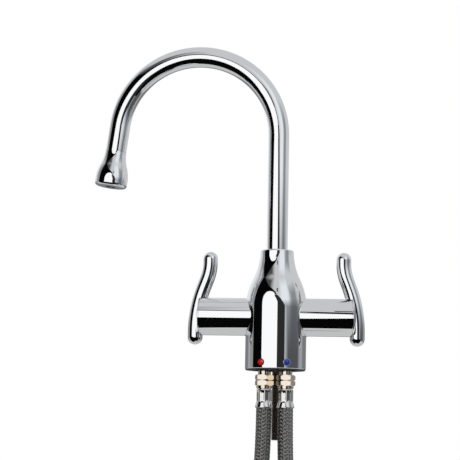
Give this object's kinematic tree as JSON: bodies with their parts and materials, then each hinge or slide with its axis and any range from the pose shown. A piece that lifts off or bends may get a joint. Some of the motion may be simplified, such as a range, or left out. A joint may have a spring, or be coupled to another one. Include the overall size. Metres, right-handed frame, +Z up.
{
  "type": "boiling water tap",
  "caption": "Swan-neck boiling water tap with a bottle-shaped body, a quarter-turn lever on each side barrel, a bell-mouthed outlet, and hot and cold braided supply hoses.",
  "frame": {"origin": "centre of the base ring's underside, on the worktop", "axes": "+Z up along the tap's centre line, +X along the cold barrel to the user's right, -Y towards the user; the spout at rest points to -X"},
  "size_m": [0.2486, 0.0546, 0.6992],
  "materials": {
    "chrome_plate": "polished chrome plate on brass",
    "brass": "turned brass",
    "nickel_plate": "bright nickel plate on brass",
    "stainless_steel": "drawn stainless steel",
    "zinc_steel": "blackened steel with a rolled thread",
    "black_rubber": "moulded black rubber",
    "braided_hose": "stainless wire braid over a rubber hose",
    "silicone": "translucent silicone hose",
    "ceramic": "lapped alumina",
    "glide_plastic": "black acetal",
    "aerator_plastic": "dark acetal",
    "red_enamel": "glossy red",
    "blue_enamel": "glossy blue",
    "fibre": "red-brown fibre washer"
  },
  "bodies": {
    "tap": {"tap_body": "chrome_plate", "base_seal": "black_rubber", "mark_bezels": "chrome_plate", "fixing_stud": "zinc_steel", "spout_keeper": "stainless_steel", "glide_ring": "glide_plastic", "hot_mark": "red_enamel", "hot_seat_seal": "black_rubber", "hot_fixed_disc": "ceramic", "hot_cartridge_body": "brass", "hot_cartridge_oring": "black_rubber", "hot_hose_tail": "nickel_plate", "hot_tail_oring": "black_rubber", "hot_upper_ferrule": "stainless_steel", "hot_hose": "braided_hose", "hot_lower_ferrule": "stainless_steel", "hot_hose_stem": "brass", "hot_union_washer": "fibre", "cold_mark": "blue_enamel", "cold_seat_seal": "black_rubber", "cold_fixed_disc": "ceramic", "cold_cartridge_body": "brass", "cold_cartridge_oring": "black_rubber", "cold_hose_tail": "nickel_plate", "cold_tail_oring": "black_rubber", "cold_upper_ferrule": "stainless_steel", "cold_hose": "braided_hose", "cold_lower_ferrule": "stainless_steel", "cold_hose_stem": "brass", "cold_union_washer": "fibre"},
    "spout": {"spout_tube": "chrome_plate", "spout_liner": "silicone", "spout_foot": "brass", "spout_oring_lower": "black_rubber", "spout_oring_upper": "black_rubber", "outlet_nozzle": "chrome_plate", "aerator": "aerator_plastic", "aerator_seal": "black_rubber"},
    "hot_handle": {"hot_moving_disc": "ceramic", "hot_spindle": "brass", "hot_spindle_oring": "black_rubber", "hot_lever": "chrome_plate", "hot_lever_screw": "stainless_steel"},
    "cold_handle": {"cold_moving_disc": "ceramic", "cold_spindle": "brass", "cold_spindle_oring": "black_rubber", "cold_lever": "chrome_plate", "cold_lever_screw": "stainless_steel"},
    "hot_union": {"hot_union_nut": "nickel_plate"},
    "cold_union": {"cold_union_nut": "nickel_plate"}
  },
  "joints": [
    {"name": "spout_swivel", "type": "hinge", "parent": "tap", "child": "spout", "pos_m": [0, 0, 0.0845], "axis": [0, 0, 1], "continuous": true},
    {"name": "hot_lever_turn", "type": "hinge", "parent": "tap", "child": "hot_handle", "pos_m": [-0.069, 0, 0.048], "axis": [1, 0, 0], "range_deg": [0, 90]},
    {"name": "cold_lever_turn", "type": "hinge", "parent": "tap", "child": "cold_handle", "pos_m": [0.069, 0, 0.048], "axis": [1, 0, 0], "range_deg": [0, 90]},
    {"name": "hot_union_spin", "type": "hinge", "parent": "tap", "child": "hot_union", "pos_m": [-0.041, 0.003, -0.3855], "axis": [0, 0, 1], "continuous": true},
    {"name": "cold_union_spin", "type": "hinge", "parent": "tap", "child": "cold_union", "pos_m": [0.044, -0.002, -0.3855], "axis": [0, 0, 1], "continuous": true}
  ]
}
